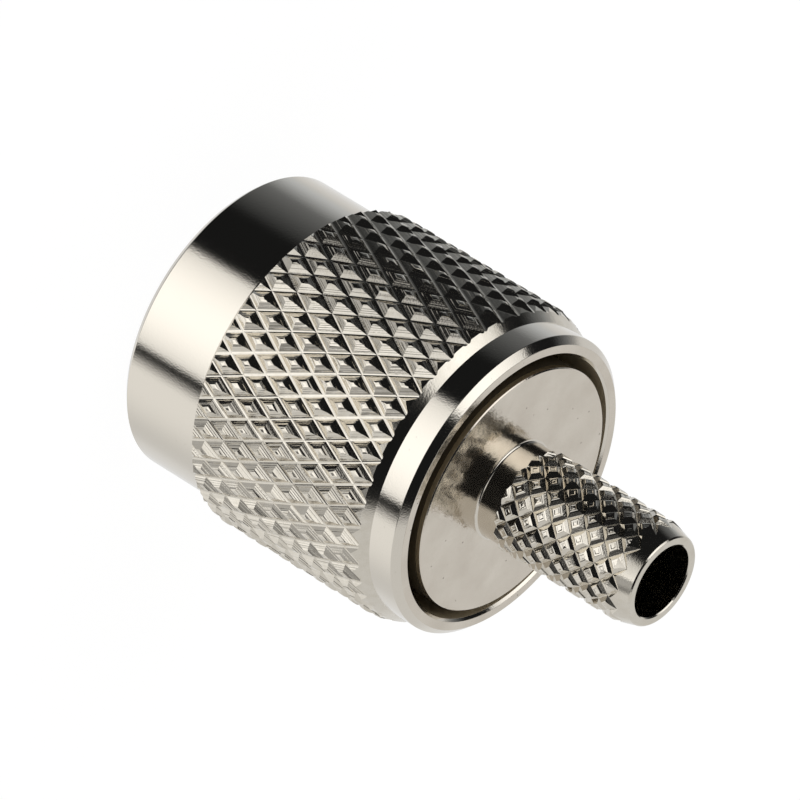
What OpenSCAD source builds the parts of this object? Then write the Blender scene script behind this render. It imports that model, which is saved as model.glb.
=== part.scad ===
// Straight screw-coupled coaxial cable plug with a crimp stem, nickel-plated brass.
// Millimetres. +Z runs along the axis from the mating end to the cable end, and the
// plug stands on the front face of its coupling nut, which lies in the plane Z = 0.

/* [Coupling nut] */
// Length of the nut
nut_l = 15.2; // [14.6:0.1:17]
// Diameter of the plain band at the front
band_d = 13.4; // [13.2:0.1:13.8]
// Length of the plain band
band_l = 4; // [3:0.1:6]
// Chamfer on the front edge
front_chamfer = 0.3; // [0.1:0.05:0.5]
// Diameter of the plain rim at the back
rim_d = 13.5; // [13.3:0.1:13.9]
// Length of the plain rim, with its chamfer
rim_l = 1.46; // [0.9:0.02:2.2]
// Chamfer on the back edge of the rim
rim_chamfer = 0.3; // [0.1:0.05:0.4]
// Bore of the coupling thread, at its crests
thread_bore_d = 10.3; // [10.2:0.05:10.5]
// Depth of the threaded bore from the front face
thread_l = 8.8; // [7.6:0.1:9]
// Countersink at the mouth of the thread, measured along the radius
mouth_chamfer = 0.55; // [0.3:0.05:0.6]
// Bore behind the thread, round the body
rear_bore_d = 11.95; // [11.8:0.05:12.1]

/* [Nut knurl] */
// Diameter over the tips of the knurl
nut_knurl_d = 14.5; // [14.3:0.1:15]
// Depth of the knurl
nut_knurl_depth = 0.23; // [0.15:0.01:0.3]
// Pyramids round the nut in one ring
nut_knurl_count = 44; // [36:2:52]
// Length of one diamond along the axis
nut_knurl_pitch = 1.92; // [1.6:0.02:2.4]
// Width of a pyramid's flat tip, as a share of the diamond
nut_knurl_flat = 0.22; // [0.1:0.02:0.4]
// Axial length of the chamfer at the front end of the knurl, from the band up to the tips
nut_knurl_step = 0.43; // [0.2:0.01:0.7]
// Axial length of the chamfer at the back end of the knurl
nut_knurl_run = 0.9; // [0.3:0.05:1.1]
// Distance from a ring of groove crossings to the front end of the knurl
nut_knurl_lead = 1.01; // [0:0.01:1.9]

/* [Crimp body] */
// Height of the disc above the back of the nut
flange_proud = 0.15; // [0:0.05:0.5]
// Rounding of the disc's edge
flange_edge = 0.08; // [0.04:0.02:0.2]
// Space between the end of the thread and the front of the body
body_setback = 0.8; // [0.5:0.1:1]
// Chamfer on the front edge of the body
body_chamfer = 0.2; // [0.1:0.05:0.3]
// Diameter of the plain neck
neck_d = 4.34; // [4.2:0.02:4.44]
// Length of the plain neck
neck_l = 1.06; // [0.6:0.02:2]
// Fillet between the neck and the disc
neck_fillet = 0.1; // [0.05:0.01:0.2]
// Length of the neck and stem together, from the disc to the end
stem_l = 8.05; // [6.5:0.05:11]
// Diameter of the stem's end face
stem_end_d = 4.06; // [3.9:0.02:4.2]
// Length of the taper at the stem's end, from the tips of the knurl
stem_taper_l = 1.3; // [0.9:0.05:1.6]
// Length of the steeper lead at the end of the taper
stem_lead_l = 0.48; // [0.3:0.02:0.7]
// Fall of the lead, measured along the radius
stem_lead_drop = 0.15; // [0.08:0.01:0.17]
// Bore for the cable's insulation
cable_bore_d = 3.26; // [3:0.02:3.4]
// Thickness of the body's back wall, from the insulator to the disc's face
back_wall = 1.35; // [1:0.05:2]

/* [Stem knurl] */
// Diameter over the tips of the stem's knurl
stem_knurl_d = 4.6; // [4.56:0.02:4.8]
// Depth of the stem's knurl
stem_knurl_depth = 0.14; // [0.1:0.01:0.18]
// Pyramids round the stem in one ring
stem_knurl_count = 14; // [12:1:18]
// Length of one diamond along the axis
stem_knurl_pitch = 1; // [0.8:0.02:1.2]
// Width of a pyramid's flat tip, as a share of the diamond
stem_knurl_flat = 0.48; // [0.2:0.02:0.7]
// Distance from a ring of groove crossings to the front end of the knurl
stem_knurl_lead = 0.52; // [0:0.01:0.95]
// Turn of the stem's pattern about the axis, in degrees
stem_knurl_turn = 19.3; // [0:0.1:25]

/* [Outer contact] */
// Diameter of the spring sleeve
sleeve_d = 8.1; // [7.9:0.05:8.3]
// Wall of the spring sleeve
sleeve_wall = 0.55; // [0.4:0.05:0.7]
// Distance of the sleeve's tip behind the front of the nut
sleeve_recess = 1.5; // [0.8:0.1:2.5]
// Depth of the sleeve's seat in the body
sleeve_seat_l = 2.4; // [1.8:0.1:2.8]
// Number of slots
slot_count = 4; // [3:1:6]
// Width of a slot
slot_w = 0.5; // [0.3:0.05:0.8]
// Length of a slot
slot_l = 5; // [3:0.1:6]
// Height of the contact bead round the tips
bead_h = 0.12; // [0.05:0.01:0.2]
// Length of the contact bead
bead_l = 1; // [0.6:0.1:1.6]

/* [Insulator] */
// Distance of the insulator's front behind the sleeve's tip
insulator_recess = 0.9; // [0.5:0.1:2]
// Bore of the hollow nose
nose_bore_d = 4.9; // [4.6:0.1:5.2]
// Depth of the hollow nose
nose_bore_l = 5.2; // [4:0.1:6]

/* [Centre pin] */
// Diameter of the pin
pin_d = 1.35; // [1.3:0.01:1.4]
// Distance of the pin's tip behind the sleeve's tip
pin_recess = 0.4; // [0.2:0.1:1]
// Length of the rounding at the pin's tip
pin_tip_l = 0.7; // [0.4:0.05:1]
// Diameter of the flat at the pin's tip
pin_tip_d = 0.5; // [0.3:0.05:0.8]
// Diameter of the shank that the insulator grips
shank_d = 1.9; // [1.7:0.05:2]
// Diameter of the barrel that takes the cable's wire
barrel_d = 2.3; // [2.1:0.05:2.5]
// Length of the barrel
barrel_l = 4.2; // [3:0.1:4.6]
// Bore for the cable's wire
wire_bore_d = 1; // [0.9:0.02:1.2]
// Depth of the wire's bore
wire_bore_l = 3.2; // [2.2:0.1:3.6]

/* [Gasket] */
// Thickness of the gasket
gasket_h = 1; // [0.6:0.1:1.3]

/* [Snap ring] */
// Outside diameter of the ring
ring_d = 12.5; // [12.3:0.05:12.6]
// Inside diameter of the ring
ring_bore_d = 9.7; // [9.4:0.05:9.9]
// Thickness of the ring along the axis
ring_t = 0.8; // [0.6:0.05:1]
// Width of the ring's split
ring_split = 1.4; // [0.8:0.1:2.5]
// Distance of the ring behind the front of the body
ring_setback = 2.2; // [1.4:0.05:2.6]
// Place of the split round the axis, in degrees
ring_split_turn = 7; // [0:1:359]

/* [Fits] */
// Gap between pieces that are pressed or seated together
seat_gap = 0.02; // [0.01:0.01:0.04]
// Radial gap between the body and the nut's bore behind the thread
body_gap = 0.475; // [0.3:0.025:0.6]
// Radial gap between the gasket and the crests of the thread
gasket_gap = 0.25; // [0.1:0.05:0.4]
// Gap beside the ring in its grooves
ring_gap = 0.06; // [0.05:0.01:0.1]
// End play of the nut on the body
nut_float = 0.3; // [0.1:0.05:0.5]

/* [Hidden] */
$fn = 96;

NICKEL = "#b8b1a5";
BRASS = "#c2a562";
GOLD = "#d9b25a";
PTFE = "#f2f0ea";
SILICONE = "#a8402c";

// How far one shape is let into the next, so that no two faces only touch
sink = 0.1;
// Clearance of a turning tool's envelope above the tips of a knurl
over_tips = 0.05;
// Angle between the points of the pin's rounded tip
tip_step = 15;

// Places along the nut, and the groove for its ring
knurl_back_z = nut_l - rim_l;
body_front_z = thread_l + body_setback;
ring_front_z = body_front_z + ring_setback;
ring_back_z = ring_front_z + ring_t;
nut_groove_d = ring_d + 2 * ring_gap;

// Places and sizes on the body and its pieces
flange_d = rear_bore_d - 2 * body_gap;
disc_z = nut_l + flange_proud;
stem_z = disc_z + neck_l;
end_z = disc_z + stem_l;
body_groove_d = ring_bore_d - 2 * ring_gap;
sleeve_back_z = body_front_z + sleeve_seat_l;
sleeve_bore_d = sleeve_d - 2 * sleeve_wall;
insulator_front_z = sleeve_recess + insulator_recess;
insulator_back_z = disc_z - back_wall;
insulator_d = sleeve_bore_d - 2 * seat_gap;
nose_floor_z = insulator_front_z + nose_bore_l;
pin_front_z = sleeve_recess + pin_recess;
barrel_front_z = insulator_back_z - barrel_l;
gasket_d = thread_bore_d - 2 * gasket_gap;
gasket_bore_d = sleeve_d + 2 * seat_gap;

// Point at radius r, angle a and height z about the axis
function on_barrel(r, a, z) = [r * cos(a), r * sin(a), z];

// Closed rod covered with blunt four-sided pyramids between two families of crossing
// grooves. Ring j of crossings stands at z + j * pitch / 2, and odd rings are turned by
// half a diamond. A pyramid sits between two neighbours of its ring and one crossing of
// the ring below and above.
module knurled_rod(d, depth, count, pitch, flat, z, rings) {
  half = 180 / count;
  tip_r = d / 2;
  root_r = tip_r - depth;
  function ring_z(j) = z + j * pitch / 2;
  function crossing(j, i) = j * count + i % count;
  function tip(j, i, k) = (rings + 1) * count + 4 * ((j - 1) * count + i) + k;
  function centre_a(j, i) = (2 * i + 1 + j % 2) * half;
  // Corners of pyramid i of ring j: left, lower, right and upper
  function corners(j, i) = [
    crossing(j, i),
    crossing(j - 1, i + j % 2),
    crossing(j, i + 1),
    crossing(j + 1, i + j % 2)
  ];
  crossings = [for (j = [0:rings], i = [0:count - 1]) on_barrel(root_r, (2 * i + j % 2) * half, ring_z(j))];
  tips = [
    for (j = [1:rings - 1], i = [0:count - 1])
      let (a = centre_a(j, i))
      each [
        on_barrel(tip_r, a - flat * half, ring_z(j)),
        on_barrel(tip_r, a, ring_z(j) - flat * pitch / 2),
        on_barrel(tip_r, a + flat * half, ring_z(j)),
        on_barrel(tip_r, a, ring_z(j) + flat * pitch / 2)
      ]
  ];
  caps = [[0, 0, z], [0, 0, ring_z(rings)]];
  cap = len(crossings) + len(tips);
  flanks = [
    for (j = [1:rings - 1], i = [0:count - 1], k = [0:3])
      let (c = corners(j, i), n = (k + 1) % 4)
      each [[c[k], tip(j, i, n), c[n]], [c[k], tip(j, i, k), tip(j, i, n)]]
  ];
  flats = [
    for (j = [1:rings - 1], i = [0:count - 1])
      each [
        [tip(j, i, 0), tip(j, i, 2), tip(j, i, 1)],
        [tip(j, i, 0), tip(j, i, 3), tip(j, i, 2)]
      ]
  ];
  ends = [
    for (i = [0:count - 1])
      each [
        [cap, crossing(0, i), crossing(1, i)],
        [cap, crossing(1, i), crossing(0, i + 1)],
        [cap + 1, crossing(rings - 1, i), crossing(rings, i)],
        [cap + 1, crossing(rings, i + 1), crossing(rings - 1, i)]
      ]
  ];
  polyhedron(points = concat(crossings, tips, caps), faces = concat(flanks, flats, ends));
}

// Even number of half-pitch rings that reaches past a length
function rings_past(length, pitch) = 2 * ceil(length / pitch + 0.5);

// Knurled length of the nut as a solid rod, chamfered down to the band at the front and to
// the rim at the back. The pattern starts a whole diamond early, out of sight
module nut_knurl() {
  start_z = band_l - nut_knurl_lead - nut_knurl_pitch;
  tip_r = nut_knurl_d / 2;
  intersection() {
    knurled_rod(
      d = nut_knurl_d,
      depth = nut_knurl_depth,
      count = nut_knurl_count,
      pitch = nut_knurl_pitch,
      flat = nut_knurl_flat,
      z = start_z,
      rings = rings_past(knurl_back_z - start_z, nut_knurl_pitch)
    );
    rotate_extrude()
      polygon([
        [0, band_l],
        [band_d / 2, band_l],
        [tip_r, band_l + nut_knurl_step],
        [tip_r + over_tips, band_l + nut_knurl_step],
        [tip_r + over_tips, knurl_back_z - nut_knurl_run],
        [tip_r, knurl_back_z - nut_knurl_run],
        [rim_d / 2, knurl_back_z],
        [0, knurl_back_z]
      ]);
  }
}

// Everything that is bored out of the nut: the mouth, the thread's bore, the bore behind
// it and the groove for the ring
module nut_bore() {
  thread_r = thread_bore_d / 2;
  rear_r = rear_bore_d / 2;
  groove_r = nut_groove_d / 2;
  rotate_extrude()
    polygon([
      [0, -sink],
      [thread_r + mouth_chamfer + sink, -sink],
      [thread_r, mouth_chamfer],
      [thread_r, thread_l],
      [rear_r, thread_l],
      [rear_r, ring_front_z - ring_gap],
      [groove_r, ring_front_z - ring_gap],
      [groove_r, ring_back_z + ring_gap],
      [rear_r, ring_back_z + ring_gap],
      [rear_r, nut_l + sink],
      [0, nut_l + sink]
    ]);
}

module coupling_nut() {
  color(NICKEL)
  difference() {
    union() {
      rotate_extrude()
        polygon([
          [0, 0],
          [band_d / 2 - front_chamfer, 0],
          [band_d / 2, front_chamfer],
          [band_d / 2, band_l + sink],
          [0, band_l + sink]
        ]);
      nut_knurl();
      rotate_extrude()
        polygon([
          [0, knurl_back_z - sink],
          [rim_d / 2, knurl_back_z - sink],
          [rim_d / 2, nut_l - rim_chamfer],
          [rim_d / 2 - rim_chamfer, nut_l],
          [0, nut_l]
        ]);
    }
    nut_bore();
  }
}

// Knurled stem with its plain taper, as a solid rod
module stem() {
  start_z = stem_z - stem_knurl_lead - stem_knurl_pitch;
  tip_r = stem_knurl_d / 2;
  end_r = stem_end_d / 2;
  intersection() {
    rotate([0, 0, stem_knurl_turn])
      knurled_rod(
        d = stem_knurl_d,
        depth = stem_knurl_depth,
        count = stem_knurl_count,
        pitch = stem_knurl_pitch,
        flat = stem_knurl_flat,
        z = start_z,
        rings = rings_past(end_z - start_z, stem_knurl_pitch)
      );
    rotate_extrude()
      polygon([
        [0, stem_z],
        [tip_r + over_tips, stem_z],
        [tip_r + over_tips, end_z - stem_taper_l],
        [tip_r, end_z - stem_taper_l],
        [end_r + stem_lead_drop, end_z - stem_lead_l],
        [end_r, end_z],
        [0, end_z]
      ]);
  }
}

module crimp_body() {
  flange_r = flange_d / 2;
  neck_r = neck_d / 2;
  groove_front_z = ring_front_z - nut_float - ring_gap;
  groove_back_z = ring_back_z + ring_gap;
  color(NICKEL)
  difference() {
    union() {
      rotate_extrude()
        polygon([
          [0, body_front_z],
          [flange_r - body_chamfer, body_front_z],
          [flange_r, body_front_z + body_chamfer],
          [flange_r, groove_front_z],
          [body_groove_d / 2, groove_front_z],
          [body_groove_d / 2, groove_back_z],
          [flange_r, groove_back_z],
          [flange_r, disc_z - flange_edge],
          [flange_r - flange_edge, disc_z],
          [neck_r + neck_fillet, disc_z],
          [neck_r, disc_z + neck_fillet],
          [neck_r, stem_z + sink],
          [0, stem_z + sink]
        ]);
      stem();
    }
    translate([0, 0, insulator_back_z - sink])
      cylinder(d = cable_bore_d, h = end_z - insulator_back_z + 2 * sink);
    translate([0, 0, body_front_z - sink])
      cylinder(d = sleeve_bore_d, h = insulator_back_z - body_front_z + sink);
    translate([0, 0, body_front_z - sink])
      cylinder(d = sleeve_d + 2 * seat_gap, h = sleeve_seat_l + sink);
  }
}

// Spring sleeve: a slotted tube with a raised bead round the tips of its fingers
module outer_contact() {
  sleeve_r = sleeve_d / 2;
  tip_z = sleeve_recess;
  color(NICKEL)
  difference() {
    rotate_extrude()
      polygon([
        [sleeve_bore_d / 2, tip_z],
        [sleeve_r - bead_h, tip_z],
        [sleeve_r + bead_h, tip_z + 2 * bead_h],
        [sleeve_r + bead_h, tip_z + bead_l - bead_h],
        [sleeve_r, tip_z + bead_l],
        [sleeve_r, sleeve_back_z],
        [sleeve_bore_d / 2, sleeve_back_z]
      ]);
    for (i = [0:slot_count - 1])
      rotate([0, 0, (i + 0.5) * 360 / slot_count])
        translate([0, -slot_w / 2, tip_z - sink])
          cube([sleeve_r + 2 * sink + bead_h, slot_w, slot_l + sink]);
  }
}

// Plastic insulator with a hollow nose and a stepped hole for the pin
module insulator() {
  color(PTFE)
  difference() {
    translate([0, 0, insulator_front_z])
      cylinder(d = insulator_d, h = insulator_back_z - seat_gap - insulator_front_z);
    translate([0, 0, insulator_front_z - sink])
      cylinder(d = nose_bore_d, h = nose_bore_l + sink);
    translate([0, 0, nose_floor_z - sink])
      cylinder(d = shank_d + 2 * seat_gap, h = insulator_back_z - nose_floor_z);
    translate([0, 0, barrel_front_z - seat_gap])
      cylinder(d = barrel_d + 2 * seat_gap, h = barrel_l + sink);
  }
}

// Gold-plated pin with a rounded tip, a shank in the insulator and a barrel for the wire
module centre_pin() {
  barrel_back_z = insulator_back_z - seat_gap;
  flat_r = pin_tip_d / 2;
  color(GOLD)
  difference() {
    rotate_extrude()
      polygon([
        [0, pin_front_z],
        for (a = [0:tip_step:90])
          [flat_r + (pin_d / 2 - flat_r) * sin(a), pin_front_z + pin_tip_l * (1 - cos(a))],
        [pin_d / 2, nose_floor_z],
        [shank_d / 2, nose_floor_z],
        [shank_d / 2, barrel_front_z],
        [barrel_d / 2, barrel_front_z],
        [barrel_d / 2, barrel_back_z],
        [0, barrel_back_z]
      ]);
    translate([0, 0, barrel_back_z - wire_bore_l])
      cylinder(d = wire_bore_d, h = wire_bore_l + sink);
  }
}

// Flat sealing ring on the front of the body, round the sleeve
module gasket() {
  color(SILICONE)
  translate([0, 0, body_front_z - gasket_h])
  difference() {
    cylinder(d = gasket_d, h = gasket_h);
    translate([0, 0, -sink])
      cylinder(d = gasket_bore_d, h = gasket_h + 2 * sink);
  }
}

// Split ring that lies half in the body's groove and half in the nut's groove
module snap_ring() {
  color(BRASS)
  translate([0, 0, ring_front_z])
  difference() {
    cylinder(d = ring_d, h = ring_t);
    translate([0, 0, -sink])
      cylinder(d = ring_bore_d, h = ring_t + 2 * sink);
    rotate([0, 0, ring_split_turn])
      translate([0, -ring_split / 2, -sink])
        cube([ring_d, ring_split, ring_t + 2 * sink]);
  }
}

coupling_nut();
crimp_body();
outer_contact();
insulator();
centre_pin();
gasket();
snap_ring();
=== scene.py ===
# Looks of a straight screw-coupled coaxial cable plug, in bright nickel plate over turned and
# knurled brass. The plug stands on the front face of its nut, and +Z runs to the cable end.
# Sizes are in millimetres until a mesh is made of them.
import math

import bmesh
import bpy
from mathutils import Matrix, Vector


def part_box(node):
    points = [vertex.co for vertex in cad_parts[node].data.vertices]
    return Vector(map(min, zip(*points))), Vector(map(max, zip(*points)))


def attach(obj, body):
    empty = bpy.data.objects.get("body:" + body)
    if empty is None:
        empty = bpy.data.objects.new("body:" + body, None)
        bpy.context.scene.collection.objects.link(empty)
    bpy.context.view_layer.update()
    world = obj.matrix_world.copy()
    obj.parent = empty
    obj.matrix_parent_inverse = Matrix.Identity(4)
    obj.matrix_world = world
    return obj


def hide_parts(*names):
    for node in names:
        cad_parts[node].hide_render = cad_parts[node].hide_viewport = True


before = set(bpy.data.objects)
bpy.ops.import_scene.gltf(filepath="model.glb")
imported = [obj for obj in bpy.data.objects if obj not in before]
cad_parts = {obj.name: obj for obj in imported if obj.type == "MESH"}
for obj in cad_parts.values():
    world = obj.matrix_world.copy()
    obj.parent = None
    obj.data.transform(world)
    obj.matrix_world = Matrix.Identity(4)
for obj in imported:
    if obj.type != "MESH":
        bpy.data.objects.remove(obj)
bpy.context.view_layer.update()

MM = 0.001


def corners_mm(node):
    """Lowest and highest corner of a CAD node, in millimetres."""
    return [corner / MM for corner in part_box(node)]


# Sizes read from the CAD solids
_, NUT_TOP = corners_mm("coupling_nut")
BODY_LOW, BODY_TOP = corners_mm("crimp_body")
SLEEVE_LOW, SLEEVE_TOP = corners_mm("outer_contact")
INSULATOR_LOW, INSULATOR_TOP = corners_mm("insulator")
PIN_LOW, PIN_TOP = corners_mm("centre_pin")
GASKET_LOW, GASKET_TOP = corners_mm("gasket")
RING_LOW, RING_TOP = corners_mm("snap_ring")

# Coupling nut. Its thread has 28 turns to the inch, and the ridge's foot and crest are shares of the pitch
NUT_L = NUT_TOP.z
BAND_R = 6.7
BAND_L = 4.0
FRONT_CHAMFER = 0.3
RIM_R = 6.75
RIM_L = 1.46
RIM_CHAMFER = 0.3
THREAD_CREST_R = 5.15
THREAD_ROOT_R = 5.556
THREAD_PITCH = 25.4 / 28
FOOT_SHARE = 0.92
CREST_SHARE = 0.2
THREAD_L = 8.8
MOUTH_CHAMFER = 0.55
REAR_BORE_R = 5.975
REAR_CHAMFER = 0.11
RING_GAP = 0.06

# Nut knurl: a rolled diamond pattern. Flanks climb from the groove to the tip in fine treads, and the tip is
# a little domed. The rings of the tip are (share of the diamond, share of the depth), and the first row of
# diamonds stands at the start
NUT_KNURL_PITCH = 1.92
NUT_KNURL_LEAD = 1.01
NUT_KNURL = {
    "tip_r": NUT_TOP.x,
    "depth": 0.23,
    "count": 44,
    "pitch": NUT_KNURL_PITCH,
    "groove": 0.112,
    "turn": 0.0,
    "start": BAND_L - NUT_KNURL_LEAD - NUT_KNURL_PITCH,
    "treads": 4,
    "tip": [(0.26, 0.93), (0.12, 1.0)],
    "wear": 0.12,
    "wear_grain": 9.0,
}

# Ends of the nut's knurl: a step up from the band, and a run down to the rim that ends in a steeper cone
NUT_KNURL_STEP = 0.43
NUT_KNURL_RUN = 0.9
NUT_CONE_R = 7.06
NUT_CONE_L = 0.41
KNURL_CORE_R = 6.6

# Both knurls: where a tread bends, in shares of its width and rise, the dip along the middle of a groove as a
# share of the depth, and the rows beyond those that the length needs
TREAD_WIDTH = 0.74
TREAD_RISE = 0.66
GROOVE_DIP = 0.04
SPARE_ROWS = 2

# How far an envelope stands over the tips, how far pieces lap, and how deep one is sunk in the next
OVER_TIPS = 0.05
LAP = 0.3
SUNK = 0.1

# Crimp body. The stem's tube runs on inside the flange with STEM_WALL, and the two lap by STEM_LAP
FLANGE_R = BODY_TOP.x
FLANGE_EDGE = 0.045
DISC_Z = NUT_L + 0.15
BODY_CHAMFER = 0.2
NUT_FLOAT = 0.3
BODY_GROOVE_R = 4.79
NECK_R = 2.17
NECK_L = 1.06
NECK_FILLET = 0.12
STEM_END_R = 2.03
STEM_TAPER_L = 1.0
STEM_END_CHAMFER = 0.06
CABLE_BORE_R = 1.63
BORE_CHAMFER = 0.05
SEAT_R = 4.07
SEAT_L = 2.4
STEM_WALL = 0.3
STEM_LAP = 0.05

# Stem knurl: the same pattern, finer and blunter, with a small dimple in each tip
STEM_KNURL_PITCH = 1.0
STEM_KNURL_LEAD = 0.52
STEM_KNURL = {
    "tip_r": 2.3,
    "depth": 0.14,
    "count": 14,
    "pitch": STEM_KNURL_PITCH,
    "groove": 0.03,
    "turn": 19.3,
    "start": DISC_Z + NECK_L - STEM_KNURL_LEAD - 2 * STEM_KNURL_PITCH,
    "treads": 1,
    "tip": [(0.5, 0.95), (0.42, 1.0), (0.3, 1.0), (0.2, 0.91), (0.08, 0.93)],
    "wear": 0.12,
    "wear_grain": 4.0,
}

# Pieces inside
SLEEVE_R = 4.05
SLEEVE_BORE_R = 3.5
BEAD_L = 1.0
SLOT_COUNT = 4
SLOT_W = 0.5
SLOT_L = 5.0
NOSE_BORE_R = 2.45
NOSE_BORE_L = 5.2
PIN_R = 0.675
PIN_TIP_R = 0.25
PIN_TIP_L = 0.7
SHANK_R = 0.95
BARREL_L = 4.2
WIRE_BORE_R = 0.5
WIRE_BORE_L = 3.2
FIT_GAP = 0.02
GASKET_BORE_R = SLEEVE_R + FIT_GAP
RING_BORE_R = 4.85
RING_SPLIT = 1.4
RING_SPLIT_TURN = 7.0

# How finely round shapes are drawn, and the angles in degrees below which faces are shaded as one
SEGMENTS = 192
PIN_SEGMENTS = 64
ARC_STEPS = 5
PIN_TIP_STEPS = 6
SMOOTH_BELOW = 28
SMOOTH_KNURL_BELOW = 4

# Points of a knurl that are closer than these are one point, on the rolled sheet and after trimming
JOINING = 0.002
TOUCHING = 0.001

# How far a cutter stands out of what it cuts
CLEAR = 1.0

# Roundings of edges, from a keen one to the softest. EDGE is an ordinary turned one
KEEN_EDGE = 0.01
BROKEN_EDGE = 0.02
EDGE = 0.03
STEP_EDGE = 0.05
RIM_EDGE = 0.06
SOFT_EDGE = 0.08
ROUND_EDGE = 0.1
NOSE_EDGE = 0.15

# Where the turned plate changes: how far outside the rear bore, below the faced ends, inside the nut's wall
# and in front of the ring
BORE_MARGIN = 0.1
FACE_MARGIN = 0.01
FILM_MARGIN = 0.2
GAP_SHADE_REACH = 0.5

# Sizes of the patterns in the materials. Lathe marks are given by the length of one radian of their wave, and
# are further apart than real ones, so that they show
GRAIN = 0.07
CLOUD = 1.5
PIT_SPACING = 0.6
FACE_WAVE = 0.5
KNURL_STAIN = 0.4
BRONZE_STAIN = 0.8
PIN_MARK = 0.12
PTFE_CLOUD = 1.2
PTFE_MARK = 0.15
DUST = 0.5

# Radians of a wave texture to one unit of its scale
WAVE_RATE = 20

# View of the picture: where the camera stands round the plug, and its aim. The clips are in metres
VIEW_AZIMUTH = 178.375
VIEW_ELEVATION = 30.249
VIEW_ROLL = 121.424
VIEW_DISTANCE = 386.2
VIEW_AIM = Vector((0.810, 2.673, 10.272))
SENSOR = 36.0
LENS = 431.507
CLIP_START = 0.01
CLIP_END = 10.0

# Floor: half its width, its height, its glow to the camera, and the share of that glow in what is seen
FLOOR_HALF = 1000.0
FLOOR_Z = -0.02
FLOOR_WHITE = 1.07
FLOOR_SHARE = 0.9

# Studio, as seen from the plug with the camera at azimuth 0. A span is where a soft edge starts and ends. The
# sweep's steps are where each starts and ends towards the back, and what it adds. A panel has the azimuth
# that it faces, its edges across and upwards in units of its distance (low, softness, high, softness), its
# hot spot, the spread of that spot and its strength
TABLE_LIGHT = 0.77
TABLE_LEFT_LIGHT = 0.26
TABLE_LEFT_SPAN = (0.55, 0.9)
TABLE_EDGE_SPAN = (0.06, 0.37)
DARK_LIGHT = 0.012
SWEEP = [(-0.15, 0.36, 0.17), (0.36, 0.62, 0.43), (0.62, 0.9, 0.23)]
SWEEP_LEAN = 0.15
SWEEP_HALF_WIDTH = 2.5
SWEEP_SIDE_SPAN = (-0.4, 0.25)
SWEEP_TINT = (-0.05, 0.0, 0.06)
PANELS = [
    (-30.6, ((-1.6, 0.3, 0.19, 0.08), (-0.275, 0.05, 1.31, 0.12)), (-0.565, 0.307), (0.62, 1.03), 1.57),
    (-97.0, ((-0.25, 0.1, 0.25, 0.1), (-0.1, 0.05, 0.58, 0.1)), (0.0, 0.24), (1.0, 1.0), 0.55),
    (-48.0, ((-1.0, 0.3, 1.0, 0.3), (-1.2, 0.3, 0.2, 0.1)), (0.0, -0.445), (0.22, 0.22), 0.53),
    (57.0, ((-0.64, 0.06, 0.45, 0.04), (-0.02, 0.04, 1.1, 0.06)), (-0.15, 0.4), (0.55, 1.3), 1.6),
]


def add(tree, kind, inputs=None, **settings):
    """Adds a node. Settings are its properties; inputs are values, sockets, nodes or lists of nodes."""
    node = tree.nodes.new(kind)
    for key, value in settings.items():
        setattr(node, key, value)
    for key, value in (inputs or {}).items():
        for one in value if isinstance(value, list) else [value]:
            source = one.outputs[0] if isinstance(one, bpy.types.Node) else one
            if isinstance(source, bpy.types.NodeSocket):
                tree.links.new(source, node.inputs[key])
            else:
                node.inputs[key].default_value = source
    return node


def linear(hex_colour):
    """sRGB hex as linear RGBA."""
    parts = [int(hex_colour[i : i + 2], 16) / 255 for i in (1, 3, 5)]
    return (*(c / 12.92 if c <= 0.04045 else ((c + 0.055) / 1.055) ** 2.4 for c in parts), 1.0)


# Camera


def make_camera():
    """Sets the picture's view of the plug, through a long lens on a square frame, and gives its turn."""
    azimuth, elevation = math.radians(VIEW_AZIMUTH), math.radians(VIEW_ELEVATION)
    flat = math.cos(elevation)
    back = Vector((math.sin(azimuth) * flat, -math.cos(azimuth) * flat, math.sin(elevation)))
    camera = bpy.data.objects.new("camera", bpy.data.cameras.new("camera"))
    bpy.context.scene.collection.objects.link(camera)
    turn = (-back).to_track_quat("-Z", "Y").to_matrix() @ Matrix.Rotation(math.radians(VIEW_ROLL), 3, "Z")
    camera.matrix_world = Matrix.Translation((VIEW_AIM + back * VIEW_DISTANCE) * MM) @ turn.to_4x4()
    camera.data.sensor_width = SENSOR
    camera.data.lens = LENS
    camera.data.clip_start, camera.data.clip_end = CLIP_START, CLIP_END
    bpy.context.scene.camera = camera
    return turn


# Materials


def new_material(name):
    """New material with its node tree and its shader."""
    material = bpy.data.materials.new(name)
    material.use_nodes = True
    return material, material.node_tree, material.node_tree.nodes["Principled BSDF"]


def mottle(tree, shader, place, size, detail, colours):
    """Colours the shader in clouds of a given size, from one colour to another, and gives their strength."""
    clouds = add(tree, "ShaderNodeTexNoise", {"Vector": place, "Scale": 1 / (size * MM), "Detail": detail})
    strength = clouds.outputs["Fac"]
    first, second = (linear(colour) for colour in colours)
    mixed = add(tree, "ShaderNodeMix", {0: strength, 6: first, 7: second}, data_type="RGBA")
    tree.links.new(mixed.outputs[2], shader.inputs["Base Color"])
    return strength


def plate_grain(tree, place):
    """Faint bumps of the nickel plate."""
    grain = add(tree, "ShaderNodeTexNoise", {"Vector": place, "Scale": 1 / (GRAIN * MM), "Detail": 2.0})
    relief = {"Height": grain.outputs["Fac"], "Strength": 0.13, "Distance": 0.02 * MM}
    return add(tree, "ShaderNodeBump", relief)


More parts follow.
